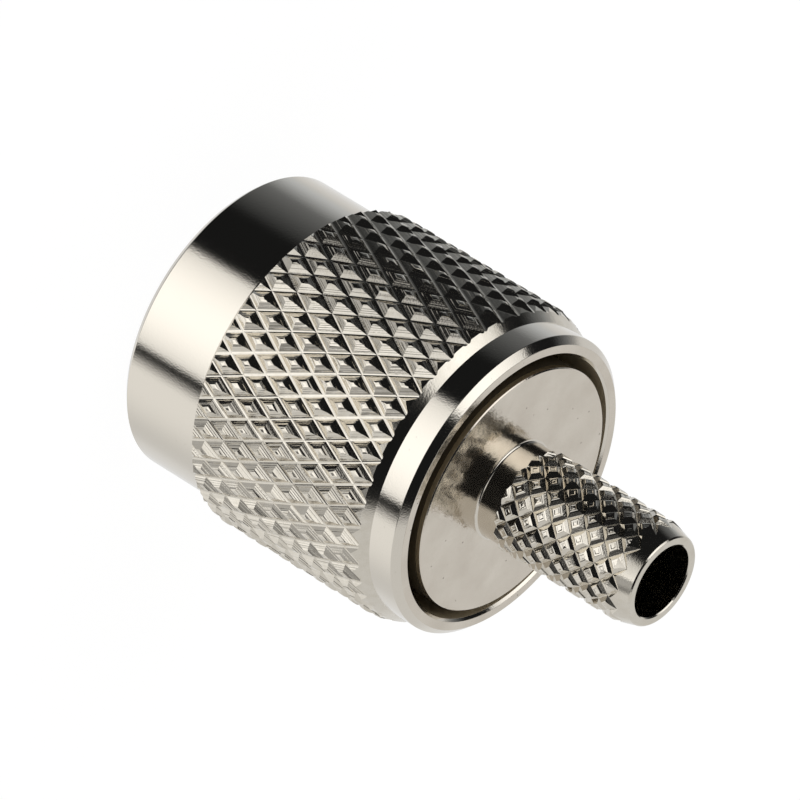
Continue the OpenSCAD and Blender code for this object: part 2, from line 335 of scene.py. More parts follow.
def turned_nickel():
    """Bright nickel plate on turned brass: a warm grey mirror with faint grain and a few pits.

    Faced ends are a little duller, cloudy and not quite flat. Bores are dull and brown where the ring sits,
    where painted shade also darkens the body's side.
    """
    material, tree, shader = new_material("bright_nickel_on_turned_brass")
    place = add(tree, "ShaderNodeTexCoord").outputs["Object"]
    height = add(tree, "ShaderNodeSeparateXYZ", {0: place}).outputs["Z"]
    level = add(tree, "ShaderNodeVectorMath", {0: place, 1: (1, 1, 0)}, operation="MULTIPLY")
    radius = add(tree, "ShaderNodeVectorMath", {0: level}, operation="LENGTH").outputs["Value"]
    bore_r = (REAR_BORE_R + BORE_MARGIN) * MM
    neck_r = (NECK_R + NECK_FILLET) * MM
    within = add(tree, "ShaderNodeMath", {0: radius, 1: bore_r}, operation="LESS_THAN")
    below = add(tree, "ShaderNodeMath", {0: height, 1: (NUT_L - REAR_CHAMFER) * MM}, operation="LESS_THAN")
    bored = add(tree, "ShaderNodeMath", {0: within, 1: below}, operation="MULTIPLY")
    off_neck = add(tree, "ShaderNodeMath", {0: radius, 1: neck_r}, operation="GREATER_THAN")
    at_end = add(tree, "ShaderNodeMath", {0: height, 1: (NUT_L - FACE_MARGIN) * MM}, operation="GREATER_THAN")
    faced = add(tree, "ShaderNodeMath", {0: off_neck, 1: at_end}, operation="MULTIPLY")

    # Plain plate is almost a mirror, the faced ends a little less and the bores much less
    rough = add(tree, "ShaderNodeMath", {0: bored, 1: 0.4, 2: 0.09}, operation="MULTIPLY_ADD")
    rough = add(tree, "ShaderNodeMath", {0: faced, 1: 0.05, 2: rough}, operation="MULTIPLY_ADD")
    tree.links.new(rough.outputs[0], shader.inputs["Roughness"])

    # Round the ring, the body's side is darkened with painted shade, and the nut's wall has a brown film
    ring_z = (RING_LOW.z - GAP_SHADE_REACH) * MM
    wall_r = (REAR_BORE_R - FILM_MARGIN) * MM
    far_in = add(tree, "ShaderNodeMath", {0: height, 1: ring_z}, operation="GREATER_THAN")
    off_bore = add(tree, "ShaderNodeMath", {0: radius, 1: BODY_GROOVE_R * MM}, operation="GREATER_THAN")
    off_body = add(tree, "ShaderNodeMath", {0: radius, 1: wall_r}, operation="GREATER_THAN")
    painted_gap_shade = add(tree, "ShaderNodeMath", {0: far_in, 1: off_bore}, operation="MULTIPLY")
    painted_gap_shade = add(tree, "ShaderNodeMath", {0: painted_gap_shade, 1: bored}, operation="MULTIPLY")
    filmed = add(tree, "ShaderNodeMath", {0: painted_gap_shade, 1: off_body}, operation="MULTIPLY")
    metal = add(tree, "ShaderNodeMath", {0: filmed, 1: -0.8, 2: 1.0}, operation="MULTIPLY_ADD")
    tree.links.new(metal.outputs[0], shader.inputs["Metallic"])

    # Pits about 0.07 mm across on the faced ends, and fainter ones elsewhere
    pits = add(tree, "ShaderNodeTexVoronoi", {"Vector": place, "Scale": 1 / (PIT_SPACING * MM)})
    span = {"Value": pits.outputs["Distance"], "From Min": 0.04, "From Max": 0.08}
    span.update({"To Min": 0.65, "To Max": 0.0})
    pitted = add(tree, "ShaderNodeMapRange", span)
    share = add(tree, "ShaderNodeMath", {0: faced, 1: 0.85, 2: 0.15}, operation="MULTIPLY_ADD")
    pitted = add(tree, "ShaderNodeMath", {0: pitted, 1: share}, operation="MULTIPLY")

    # Clouds of handling on the faced ends, then the painted shade in the gap, the film and the pits
    clouds = add(tree, "ShaderNodeTexNoise", {"Vector": place, "Scale": 1 / (CLOUD * MM), "Detail": 4.0})
    cloudy = {0: clouds.outputs["Fac"], 6: linear("#E2DBCF"), 7: linear("#C6BDB0")}
    cloudy = add(tree, "ShaderNodeMix", cloudy, data_type="RGBA").outputs[2]
    layers = [
        (faced, cloudy),
        # Painted shade: a dark grey brown on the body's side in the gap round the ring
        (painted_gap_shade, linear("#70695B")),
        (filmed, linear("#DCCBAC")),
        (pitted, linear("#4A4339")),
    ]
    colour = linear("#D8D2C7")
    for share, layer in layers:
        colour = add(tree, "ShaderNodeMix", {0: share, 6: colour, 7: layer}, data_type="RGBA").outputs[2]
    tree.links.new(colour, shader.inputs["Base Color"])

    # Grain all over, and slow waves on the faced ends
    waves = add(tree, "ShaderNodeTexNoise", {"Vector": place, "Scale": 1 / (FACE_WAVE * MM), "Detail": 2.0})
    waves = add(tree, "ShaderNodeMath", {0: waves.outputs["Fac"], 1: faced}, operation="MULTIPLY")
    relief = {"Height": waves, "Strength": 0.3, "Distance": 0.06 * MM, "Normal": plate_grain(tree, place)}
    bump = add(tree, "ShaderNodeBump", relief)
    tree.links.new(bump.outputs[0], shader.inputs["Normal"])
    return material


def rolled_nickel():
    """Bright nickel plate on rolled knurling: the same mirror, a little softer on the squeezed flanks."""
    material, tree, shader = new_material("bright_nickel_on_rolled_knurl")
    shader.inputs["Metallic"].default_value = 1.0
    shader.inputs["Roughness"].default_value = 0.12
    place = add(tree, "ShaderNodeTexCoord").outputs["Object"]
    mottle(tree, shader, place, KNURL_STAIN, 3.0, ("#DDD8CE", "#CBC4B6"))
    tree.links.new(plate_grain(tree, place).outputs[0], shader.inputs["Normal"])
    return material


def spring_bronze():
    """Bare spring bronze: a dull olive brown, stained in patches by handling."""
    material, tree, shader = new_material("bare_spring_bronze")
    shader.inputs["Metallic"].default_value = 1.0
    shader.inputs["Roughness"].default_value = 0.45
    place = add(tree, "ShaderNodeTexCoord").outputs["Object"]
    mottle(tree, shader, place, BRONZE_STAIN, 3.0, ("#A09270", "#7E7154"))
    return material


def gold_flash():
    """Gold flash on turned brass: a soft yellow mirror with fine rings left by the lathe."""
    material, tree, shader = new_material("gold_flash_on_turned_brass")
    shader.inputs["Metallic"].default_value = 1.0
    shader.inputs["Base Color"].default_value = linear("#E6BE6A")
    place = add(tree, "ShaderNodeTexCoord").outputs["Object"]
    rings = {"Vector": place, "Scale": 1 / (WAVE_RATE * PIN_MARK * MM), "Distortion": 0.5, "Detail": 2.0}
    marks = add(tree, "ShaderNodeTexWave", rings, bands_direction="Z")
    span = {"Value": marks.outputs["Fac"], "To Min": 0.12, "To Max": 0.24}
    rough = add(tree, "ShaderNodeMapRange", span)
    tree.links.new(rough.outputs[0], shader.inputs["Roughness"])
    relief = {"Height": marks.outputs["Fac"], "Strength": 0.1, "Distance": 0.01 * MM}
    bump = add(tree, "ShaderNodeBump", relief)
    tree.links.new(bump.outputs[0], shader.inputs["Normal"])
    return material


def turned_ptfe():
    """Turned white PTFE: waxy, slightly translucent white with rings left by the lathe."""
    material, tree, shader = new_material("turned_ptfe")
    shader.inputs["Roughness"].default_value = 0.42
    shader.inputs["IOR"].default_value = 1.36
    shader.inputs["Subsurface Weight"].default_value = 0.2
    shader.inputs["Subsurface Radius"].default_value = (0.5 * MM, 0.45 * MM, 0.4 * MM)
    shader.inputs["Subsurface Scale"].default_value = 1.0
    place = add(tree, "ShaderNodeTexCoord").outputs["Object"]
    mottle(tree, shader, place, PTFE_CLOUD, 2.0, ("#F4F2ED", "#E9E6DD"))
    level = add(tree, "ShaderNodeVectorMath", {0: place, 1: (1, 1, 0)}, operation="MULTIPLY")
    rings = {"Vector": level, "Scale": 1 / (WAVE_RATE * PTFE_MARK * MM), "Distortion": 0.3}
    marks = add(tree, "ShaderNodeTexWave", rings, wave_type="RINGS", rings_direction="SPHERICAL")
    relief = {"Height": marks.outputs["Fac"], "Strength": 0.25, "Distance": 0.02 * MM}
    bump = add(tree, "ShaderNodeBump", relief)
    tree.links.new(bump.outputs[0], shader.inputs["Normal"])
    return material


def silicone_rubber():
    """Moulded silicone rubber: matt red brown with a fine uneven skin and a little dust."""
    material, tree, shader = new_material("moulded_silicone_rubber")
    shader.inputs["Roughness"].default_value = 0.62
    shader.inputs["IOR"].default_value = 1.41
    place = add(tree, "ShaderNodeTexCoord").outputs["Object"]
    dust = mottle(tree, shader, place, DUST, 4.0, ("#8F3422", "#AD4A36"))
    bump = add(tree, "ShaderNodeBump", {"Height": dust, "Strength": 0.2, "Distance": 0.03 * MM})
    tree.links.new(bump.outputs[0], shader.inputs["Normal"])
    return material


# Turned shapes


def rounded(outline):
    """Corners (radius, height, rounding) of a closed outline as points, each corner an arc."""
    points = []
    for i, (r, z, fillet) in enumerate(outline):
        corner = Vector((r, z))
        if fillet == 0:
            points.append(corner)
            continue
        before = (Vector(outline[i - 1][:2]) - corner).normalized()
        after = (Vector(outline[(i + 1) % len(outline)][:2]) - corner).normalized()
        half = before.angle(after) / 2
        centre = corner + (before + after).normalized() * (fillet / math.sin(half))
        reach = fillet / math.tan(half)
        start, end = corner + before * reach - centre, corner + after * reach - centre
        sweep = end.angle_signed(start)
        for step in range(ARC_STEPS + 1):
            points.append(centre + Matrix.Rotation(sweep * step / ARC_STEPS, 2) @ start)
    return points


def new_piece(name, points, faces, material=None):
    """Mesh object at the origin, from points in millimetres."""
    mesh = bpy.data.meshes.new(name)
    mesh.from_pydata([Vector(p) * MM for p in points], [], faces)
    mesh.update()
    if material:
        mesh.materials.append(material)
    piece = bpy.data.objects.new(name, mesh)
    bpy.context.scene.collection.objects.link(piece)
    return piece


def turned(name, outline, material=None, segments=SEGMENTS):
    """Solid of revolution. The outline runs anticlockwise, with the radius to the right and the height up."""
    profile = rounded(outline)
    points, rings, faces = [], [], []
    for r, z in profile:
        count = segments if r > 0 else 1
        rings.append([len(points) + k % count for k in range(segments + 1)])
        for k in range(count):
            angle = 2 * math.pi * k / segments
            points.append((r * math.cos(angle), r * math.sin(angle), z))
    for low, high in zip(rings, rings[1:] + rings[:1]):
        for k in range(segments):
            face = list(dict.fromkeys((low[k], low[k + 1], high[k + 1], high[k])))
            if len(face) > 2:
                faces.append(face)
    return new_piece(name, points, faces, material)


def bake(piece):
    """Turns what the modifiers make into the piece's own mesh."""
    graph = bpy.context.evaluated_depsgraph_get()
    evaluated = piece.evaluated_get(graph)
    made = bpy.data.meshes.new_from_object(evaluated, preserve_all_data_layers=True, depsgraph=graph)
    old = piece.data
    piece.modifiers.clear()
    piece.data = made
    bpy.data.meshes.remove(old)
    made.name = piece.name


def mend(piece):
    """Closes up what trimming leaves: points that all but touch, and slivers folded onto a flat shoulder."""
    mesh = bmesh.new()
    mesh.from_mesh(piece.data)
    bmesh.ops.remove_doubles(mesh, verts=mesh.verts, dist=TOUCHING * MM)
    bmesh.ops.dissolve_degenerate(mesh, edges=mesh.edges, dist=TOUCHING * MM)
    level = []
    for face in mesh.faces:
        heights = sorted(corner.co.z for corner in face.verts)
        if any(high - low < TOUCHING * MM for low, high in zip(heights, heights[2:])):
            level.append(face)
    bmesh.ops.triangulate(mesh, faces=level, ngon_method="EAR_CLIP")
    seen = {}
    for face in mesh.faces:
        seen.setdefault(frozenset(face.verts), []).append(face)
    folded = [face for faces in seen.values() if len(faces) > 1 for face in faces]
    bmesh.ops.delete(mesh, geom=folded, context="FACES")
    mesh.to_mesh(piece.data)
    mesh.free()


def smooth(piece, below=SMOOTH_BELOW):
    """Smooth shading that keeps flat faces flat, and edges of a larger angle than the given one sharp.

    The modifier weighs faces by their area, which is too small for it in square metres, so it works in
    millimetres.
    """
    piece.data.shade_smooth()
    piece.data.set_sharp_from_angle(angle=math.radians(below))
    piece.data.transform(Matrix.Scale(1 / MM, 4))
    weighted = piece.modifiers.new("even", "WEIGHTED_NORMAL")
    weighted.keep_sharp = True
    bake(piece)
    piece.data.transform(Matrix.Scale(MM, 4))


def cut(piece, cutter):
    """Takes the cutter's volume out of the piece."""
    boolean = piece.modifiers.new("cut", "BOOLEAN")
    boolean.operation = "DIFFERENCE"
    boolean.solver = "EXACT"
    boolean.object = cutter
    bake(piece)
    bpy.data.objects.remove(cutter)


def boxes(name, low, high, turns):
    """Closed boxes between two corners, one for each turn about the axis, in degrees."""
    points, faces = [], []
    for turn in turns:
        first = len(points)
        swing = Matrix.Rotation(math.radians(turn), 3, "Z")
        for k in range(8):
            corner = Vector([(low, high)[k >> axis & 1][axis] for axis in range(3)])
            points.append(swing @ corner)
        for face in ((0, 2, 3, 1), (4, 5, 7, 6), (0, 1, 5, 4), (2, 6, 7, 3), (0, 4, 6, 2), (1, 3, 7, 5)):
            faces.append([first + k for k in face])
    return new_piece(name, points, faces)


# Knurls


def diamond(name, rings):
    """One blunt pyramid of a knurl in lattice units, from rings of (share of the diamond, height)."""
    points, faces = [], []
    for share, height in rings:
        points += [(share / 2, 0, height), (0, share, height), (-share / 2, 0, height), (0, -share, height)]
    for ring in range(len(rings) - 1):
        for k in range(4):
            low, next_low = 4 * ring + k, 4 * ring + (k + 1) % 4
            faces.append((low, next_low, next_low + 4, low + 4))
    faces.append([len(points) - 4 + k for k in range(4)])
    piece = new_piece(name, points, faces)
    piece.data.transform(Matrix.Scale(1 / MM, 4))
    return piece


def knurl_tree():
    """Geometry nodes that set diamonds in rows, roll the sheet into a rod and trim it to an envelope."""
    tree = bpy.data.node_groups.new("rolled_knurl", "GeometryNodeTree")
    tree.interface.new_socket("Knurled", in_out="OUTPUT", socket_type="NodeSocketGeometry")
    kinds = {"Diamond": "Object", "Envelope": "Object", "Count": "Int", "Rows": "Int", "Finish": "Material"}
    for name in ("Tip radius", "Depth", "Pitch", "Start", "Turn", "Wear", "Wear grain"):
        kinds[name] = "Float"
    for name, kind in kinds.items():
        tree.interface.new_socket(name, in_out="INPUT", socket_type="NodeSocket" + kind)
    given = add(tree, "NodeGroupInput").outputs

    # Staggered rows of diamonds on a flat sheet, one lattice unit to a diamond and a row
    index = add(tree, "GeometryNodeInputIndex")
    share = add(tree, "ShaderNodeMath", {0: index, 1: given["Count"]}, operation="DIVIDE")
    row = add(tree, "ShaderNodeMath", {0: share}, operation="FLOOR")
    column = add(tree, "ShaderNodeMath", {0: index, 1: given["Count"]}, operation="MODULO")
    odd = add(tree, "ShaderNodeMath", {0: row, 1: 2.0}, operation="MODULO")
    across = add(tree, "ShaderNodeMath", {0: odd, 1: 0.5, 2: column}, operation="MULTIPLY_ADD")
    spot = add(tree, "ShaderNodeCombineXYZ", {"X": across, "Y": row})
    total = add(tree, "ShaderNodeMath", {0: given["Count"], 1: given["Rows"]}, operation="MULTIPLY")
    spots = add(tree, "GeometryNodePoints", {"Count": total, "Position": spot})
    diamond_shape = add(tree, "GeometryNodeObjectInfo", {"Object": given["Diamond"]}).outputs["Geometry"]
    rows = add(tree, "GeometryNodeInstanceOnPoints", {"Points": spots, "Instance": diamond_shape})
    sheet = add(tree, "GeometryNodeRealizeInstances", {"Geometry": rows})

    # Small uneven marks of the rolling, none of them in the grooves
    spot = add(tree, "GeometryNodeInputPosition")
    marks = add(tree, "ShaderNodeTexNoise", {"Vector": spot, "Scale": given["Wear grain"], "Detail": 1.0})
    even = (0.5, 0.5, 0.5)
    uneven = add(tree, "ShaderNodeVectorMath", {0: marks.outputs["Color"], 1: even}, operation="SUBTRACT")
    share = add(tree, "ShaderNodeSeparateXYZ", {0: spot}).outputs["Z"]
    reach = add(tree, "ShaderNodeMath", {0: share, 1: given["Wear"]}, operation="MULTIPLY")
    shift = add(tree, "ShaderNodeVectorMath", {0: uneven, "Scale": reach}, operation="SCALE")
    sheet = add(tree, "GeometryNodeSetPosition", {"Geometry": sheet, "Offset": shift})

    # The sheet rolled round the axis, and its diamonds joined along their edges
    flat = add(tree, "ShaderNodeSeparateXYZ", {0: add(tree, "GeometryNodeInputPosition")})
    turns = add(tree, "ShaderNodeMath", {0: flat.outputs["X"], 1: given["Count"]}, operation="DIVIDE")
    swing = add(tree, "ShaderNodeMath", {0: turns, 1: math.tau, 2: given["Turn"]}, operation="MULTIPLY_ADD")
    below = add(tree, "ShaderNodeMath", {0: 1.0, 1: flat.outputs["Z"]}, operation="SUBTRACT")
    fall = add(tree, "ShaderNodeMath", {0: below, 1: given["Depth"]}, operation="MULTIPLY")
    radius = add(tree, "ShaderNodeMath", {0: given["Tip radius"], 1: fall}, operation="SUBTRACT")
    cosine = add(tree, "ShaderNodeMath", {0: swing}, operation="COSINE")
    sine = add(tree, "ShaderNodeMath", {0: swing}, operation="SINE")
    x = add(tree, "ShaderNodeMath", {0: radius, 1: cosine}, operation="MULTIPLY")
    y = add(tree, "ShaderNodeMath", {0: radius, 1: sine}, operation="MULTIPLY")
    half_pitch = add(tree, "ShaderNodeMath", {0: given["Pitch"], 1: 2.0}, operation="DIVIDE")
    climb = {0: flat.outputs["Y"], 1: half_pitch, 2: given["Start"]}
    z = add(tree, "ShaderNodeMath", climb, operation="MULTIPLY_ADD")
    rolled = add(tree, "ShaderNodeCombineXYZ", {"X": x, "Y": y, "Z": z})
    tube = add(tree, "GeometryNodeSetPosition", {"Geometry": sheet, "Position": rolled})
    tube = add(tree, "GeometryNodeMergeByDistance", {"Geometry": tube, "Distance": JOINING * MM})

    # Both ragged ends drawn in to the axis, so that the rod is closed
    sides = add(tree, "GeometryNodeInputMeshEdgeNeighbors")
    is_end = add(tree, "FunctionNodeCompare", {2: sides, 3: 1}, data_type="INT", operation="EQUAL")
    edges = {"Mesh": tube, "Selection": is_end, "Offset Scale": 0.0}
    ends = add(tree, "GeometryNodeExtrudeMesh", edges, mode="EDGES")
    height = add(tree, "ShaderNodeSeparateXYZ", {0: add(tree, "GeometryNodeInputPosition")}).outputs["Z"]
    middle = add(tree, "ShaderNodeMath", {0: given["Rows"], 1: half_pitch}, operation="MULTIPLY")
    upper = add(tree, "ShaderNodeMath", {0: middle, 1: 0.5, 2: given["Start"]}, operation="MULTIPLY_ADD")
    is_top = add(tree, "ShaderNodeMath", {0: height, 1: upper}, operation="GREATER_THAN")
    pole_z = add(tree, "ShaderNodeMath", {0: is_top, 1: middle, 2: given["Start"]}, operation="MULTIPLY_ADD")
    pole = add(tree, "ShaderNodeCombineXYZ", {"Z": pole_z})
    drawn = {"Geometry": ends, "Selection": ends.outputs["Top"], "Position": pole}
    rod = add(tree, "GeometryNodeSetPosition", drawn)
    rod = add(tree, "GeometryNodeMergeByDistance", {"Geometry": rod, "Distance": JOINING * MM})

    # Trimmed to the turned envelope
    envelope = add(tree, "GeometryNodeObjectInfo", {"Object": given["Envelope"]}).outputs["Geometry"]
    both = {"Mesh 2": [rod, envelope]}
    trimmed = add(tree, "GeometryNodeMeshBoolean", both, operation="INTERSECT", solver="EXACT")
    whole = add(tree, "GeometryNodeRealizeInstances", {"Geometry": trimmed})
    finished = add(tree, "GeometryNodeSetMaterial", {"Geometry": whole, "Material": given["Finish"]})
    add(tree, "NodeGroupOutput", {"Knurled": finished})
    return tree


def made_by_nodes(name, tree, values):
    """Piece baked from a node tree, its named inputs set by the sockets' identifiers."""
    piece = new_piece(name, [], [])
    nodes = piece.modifiers.new("make", "NODES")
    nodes.node_group = tree
    for socket in tree.interface.items_tree:
        if socket.in_out == "INPUT":
            nodes[socket.identifier] = values[socket.name]
    bake(piece)
    return piece


def knurled(name, sizes, envelope, material):
    """Knurled solid inside a turned envelope."""
    top = max(v.co.z for v in envelope.data.vertices) / MM
    around = 2 * math.pi * sizes["tip_r"] / sizes["count"]
    spacing = around * sizes["pitch"] / math.hypot(around, sizes["pitch"])
    floor = 1 - sizes["groove"] / spacing
    flat, top_height = sizes["tip"][0]
    rings = [(1, -GROOVE_DIP), (floor, 0)]
    for k in range(sizes["treads"]):
        for along, up in ((TREAD_WIDTH, TREAD_RISE), (1, 1)):
            way, height = (k + along) / sizes["treads"], (k + up) / sizes["treads"]
            rings.append((floor + (flat - floor) * way, top_height * height))
    cell = diamond(name + "_diamond", rings + sizes["tip"][1:])
    values = {
        "Diamond": cell,
        "Envelope": envelope,
        "Count": sizes["count"],
        "Rows": SPARE_ROWS + math.ceil(2 * (top - sizes["start"]) / sizes["pitch"]),
        "Tip radius": sizes["tip_r"] * MM,
        "Depth": sizes["depth"] * MM,
        "Pitch": sizes["pitch"] * MM,
        "Start": sizes["start"] * MM,
        "Turn": math.radians(sizes["turn"] + 180 / sizes["count"]),
        "Wear": sizes["wear"],
        "Wear grain": sizes["wear_grain"],
        "Finish": material,
    }
    tree = bpy.data.node_groups.get("rolled_knurl") or knurl_tree()
    piece = made_by_nodes(name, tree, values)
    bpy.data.objects.remove(cell)
    bpy.data.objects.remove(envelope)
    mend(piece)
    smooth(piece, SMOOTH_KNURL_BELOW)
    return piece


# Coupling nut


def make_nut(nickel, rolled):
    """Turned shell, knurled ring and internal thread of the coupling nut."""
    groove_r = RING_TOP.x + RING_GAP
    groove_low, groove_top = RING_LOW.z - RING_GAP, RING_TOP.z + RING_GAP
    knurl_back = NUT_L - RIM_L
    shell = turned(
        "nut_shell",
        [
            (THREAD_CREST_R + MOUTH_CHAMFER, 0, RIM_EDGE),
            (BAND_R - FRONT_CHAMFER, 0, SOFT_EDGE),
            (BAND_R, FRONT_CHAMFER, SOFT_EDGE),
            (BAND_R, BAND_L + LAP, EDGE),
            (KNURL_CORE_R, BAND_L + LAP, EDGE),
            (KNURL_CORE_R, knurl_back - LAP, EDGE),
            (RIM_R, knurl_back - LAP, EDGE),
            (RIM_R, NUT_L - RIM_CHAMFER, RIM_EDGE),
            (RIM_R - RIM_CHAMFER, NUT_L, RIM_EDGE),
            (REAR_BORE_R + REAR_CHAMFER, NUT_L, BROKEN_EDGE),
            (REAR_BORE_R, NUT_L - REAR_CHAMFER, BROKEN_EDGE),
            (REAR_BORE_R, groove_top, EDGE),
            (groove_r, groove_top, EDGE),
            (groove_r, groove_low, EDGE),
            (REAR_BORE_R, groove_low, EDGE),
            (REAR_BORE_R, THREAD_L, EDGE),
            (THREAD_ROOT_R, THREAD_L, EDGE),
            (THREAD_ROOT_R, MOUTH_CHAMFER - (THREAD_ROOT_R - THREAD_CREST_R), EDGE),
        ],
        nickel,
    )
    smooth(shell)
    tip_r = NUT_KNURL["tip_r"]
    run_slope = (tip_r - NUT_CONE_R) / (NUT_KNURL_RUN - NUT_CONE_L)
    cone_slope = (NUT_CONE_R - RIM_R) / NUT_CONE_L
    step_slope = (tip_r - BAND_R) / NUT_KNURL_STEP
    envelope = turned(
        "nut_envelope",
        [
            (KNURL_CORE_R - SUNK, BAND_L, 0),
            (BAND_R, BAND_L, 0),
            (tip_r + OVER_TIPS, BAND_L + NUT_KNURL_STEP + OVER_TIPS / step_slope, 0),
            (tip_r + OVER_TIPS, knurl_back - NUT_KNURL_RUN - OVER_TIPS / run_slope, 0),
            (NUT_CONE_R, knurl_back - NUT_CONE_L, 0),
            (RIM_R - SUNK, knurl_back + SUNK / cone_slope, 0),
            (KNURL_CORE_R - SUNK, knurl_back + SUNK / cone_slope, 0),
        ],
    )
    knurl = knurled("nut_knurl", NUT_KNURL, envelope, rolled)
    return [shell, knurl, make_thread(nickel)]


def thread_tree():
    """Geometry nodes that draw one thread ridge along a helix."""
    tree = bpy.data.node_groups.new("thread_ridge", "GeometryNodeTree")
    tree.interface.new_socket("Ridge", in_out="OUTPUT", socket_type="NodeSocketGeometry")
    kinds = {"Finish": "Material"}
    for name in ("Turns", "Rise", "Radius", "Height", "Foot", "Crest", "Start"):
        kinds[name] = "Float"
    for name, kind in kinds.items():
        tree.interface.new_socket(name, in_out="INPUT", socket_type="NodeSocket" + kind)
    given = add(tree, "NodeGroupInput").outputs
    sizes = {"Resolution": SEGMENTS // 2, "Rotations": given["Turns"], "Height": given["Rise"]}
    sizes.update({"Start Radius": given["Radius"], "End Radius": given["Radius"]})
    helix = add(tree, "GeometryNodeCurveSpiral", sizes)
    upright = add(tree, "GeometryNodeSetCurveNormal", {"Curve": helix}, mode="Z_UP")
    widths = {"Bottom Width": given["Foot"], "Top Width": given["Crest"]}
    widths.update({"Height": given["Height"], "Offset": 0.0})
    section = add(tree, "GeometryNodeCurvePrimitiveQuadrilateral", widths, mode="TRAPEZOID")
    swept = {"Curve": upright, "Profile Curve": section, "Fill Caps": True}
    ridge = add(tree, "GeometryNodeCurveToMesh", swept)
    lift = add(tree, "ShaderNodeCombineXYZ", {"Z": given["Start"]})
    placed = add(tree, "GeometryNodeTransform", {"Geometry": ridge, "Translation": lift})
    whole = add(tree, "GeometryNodeRealizeInstances", {"Geometry": placed})
    finished = add(tree, "GeometryNodeSetMaterial", {"Geometry": whole, "Material": given["Finish"]})
    add(tree, "NodeGroupOutput", {"Ridge": finished})
    return tree


def make_thread(material):
    """Ridge of the coupling thread, its foot sunk in the wall of the bore."""
    ridge_h = THREAD_ROOT_R - THREAD_CREST_R + SUNK
    rise = THREAD_L - MOUTH_CHAMFER - THREAD_PITCH
    values = {
        "Turns": rise / THREAD_PITCH,
        "Rise": rise * MM,
        "Radius": (THREAD_CREST_R + ridge_h / 2) * MM,
        "Height": ridge_h * MM,
        "Foot": FOOT_SHARE * THREAD_PITCH * MM,
        "Crest": CREST_SHARE * THREAD_PITCH * MM,
        "Start": MOUTH_CHAMFER * MM,
        "Finish": material,
    }
    piece = made_by_nodes("nut_thread", thread_tree(), values)
    smooth(piece)
    return piece


# Crimp body


def make_body(nickel, rolled):
    """Turned flange with its neck, and the knurled stem."""
    groove_low, groove_top = RING_LOW.z - RING_GAP - NUT_FLOAT, RING_TOP.z + RING_GAP
    stem_z = DISC_Z + NECK_L
    inner_z = INSULATOR_TOP.z + FIT_GAP
    body = turned(
        "body_flange",
        [
            (CABLE_BORE_R + STEM_WALL / 2, inner_z, EDGE),
            (SLEEVE_BORE_R, inner_z, EDGE),
            (SLEEVE_BORE_R, BODY_LOW.z + SEAT_L, EDGE),
            (SEAT_R, BODY_LOW.z + SEAT_L, EDGE),
            (SEAT_R, BODY_LOW.z, EDGE),
            (FLANGE_R - BODY_CHAMFER, BODY_LOW.z, EDGE),
            (FLANGE_R, BODY_LOW.z + BODY_CHAMFER, EDGE),
            (FLANGE_R, groove_low, EDGE),
            (BODY_GROOVE_R, groove_low, EDGE),
            (BODY_GROOVE_R, groove_top, EDGE),
            (FLANGE_R, groove_top, EDGE),
            (FLANGE_R, DISC_Z - FLANGE_EDGE, KEEN_EDGE),
            (FLANGE_R - FLANGE_EDGE, DISC_Z, KEEN_EDGE),
            (NECK_R, DISC_Z, NECK_FILLET),
            (NECK_R, stem_z + STEM_LAP, EDGE),
            (CABLE_BORE_R + STEM_WALL / 2, stem_z + STEM_LAP, EDGE),
        ],
        nickel,
    )
    smooth(body)
    end_z = BODY_TOP.z
    tip_r = STEM_KNURL["tip_r"]
    taper_slope = (tip_r - STEM_END_R) / STEM_TAPER_L
    envelope = turned(
        "stem_envelope",
        [
            (CABLE_BORE_R, inner_z + STEM_LAP, 0),
            (CABLE_BORE_R + STEM_WALL, inner_z + STEM_LAP, 0),
            (CABLE_BORE_R + STEM_WALL, stem_z, 0),
            (tip_r + OVER_TIPS, stem_z, 0),
            (tip_r + OVER_TIPS, end_z - STEM_TAPER_L - OVER_TIPS / taper_slope, 0),
            (STEM_END_R, end_z - STEM_END_CHAMFER, BROKEN_EDGE),
            (STEM_END_R - STEM_END_CHAMFER, end_z, BROKEN_EDGE),
            (CABLE_BORE_R + BORE_CHAMFER, end_z, KEEN_EDGE),
            (CABLE_BORE_R, end_z - BORE_CHAMFER, KEEN_EDGE),
        ],
    )
    return [body, knurled("stem_knurl", STEM_KNURL, envelope, rolled)]


# Pieces inside


def make_sleeve(material):
    """Spring sleeve with four slots and a bead round its fingers."""
    bead = SLEEVE_TOP.x - SLEEVE_R
    tip_z = SLEEVE_LOW.z
    sleeve = turned(
        "spring_sleeve",
        [
            (SLEEVE_BORE_R, tip_z, EDGE),
            (SLEEVE_R - bead, tip_z, EDGE),
            (SLEEVE_R + bead, tip_z + 2 * bead, EDGE),
            (SLEEVE_R + bead, tip_z + BEAD_L - bead, EDGE),
            (SLEEVE_R, tip_z + BEAD_L, EDGE),
            (SLEEVE_R, SLEEVE_TOP.z, EDGE),
            (SLEEVE_BORE_R, SLEEVE_TOP.z, EDGE),
        ],
        material,
    )
    low = (0, -SLOT_W / 2, tip_z - CLEAR)
    high = (SLEEVE_R + CLEAR, SLOT_W / 2, tip_z + SLOT_L)
    cut(sleeve, boxes("slots", low, high, [(k + 0.5) * 360 / SLOT_COUNT for k in range(SLOT_COUNT)]))
    smooth(sleeve)
    return sleeve


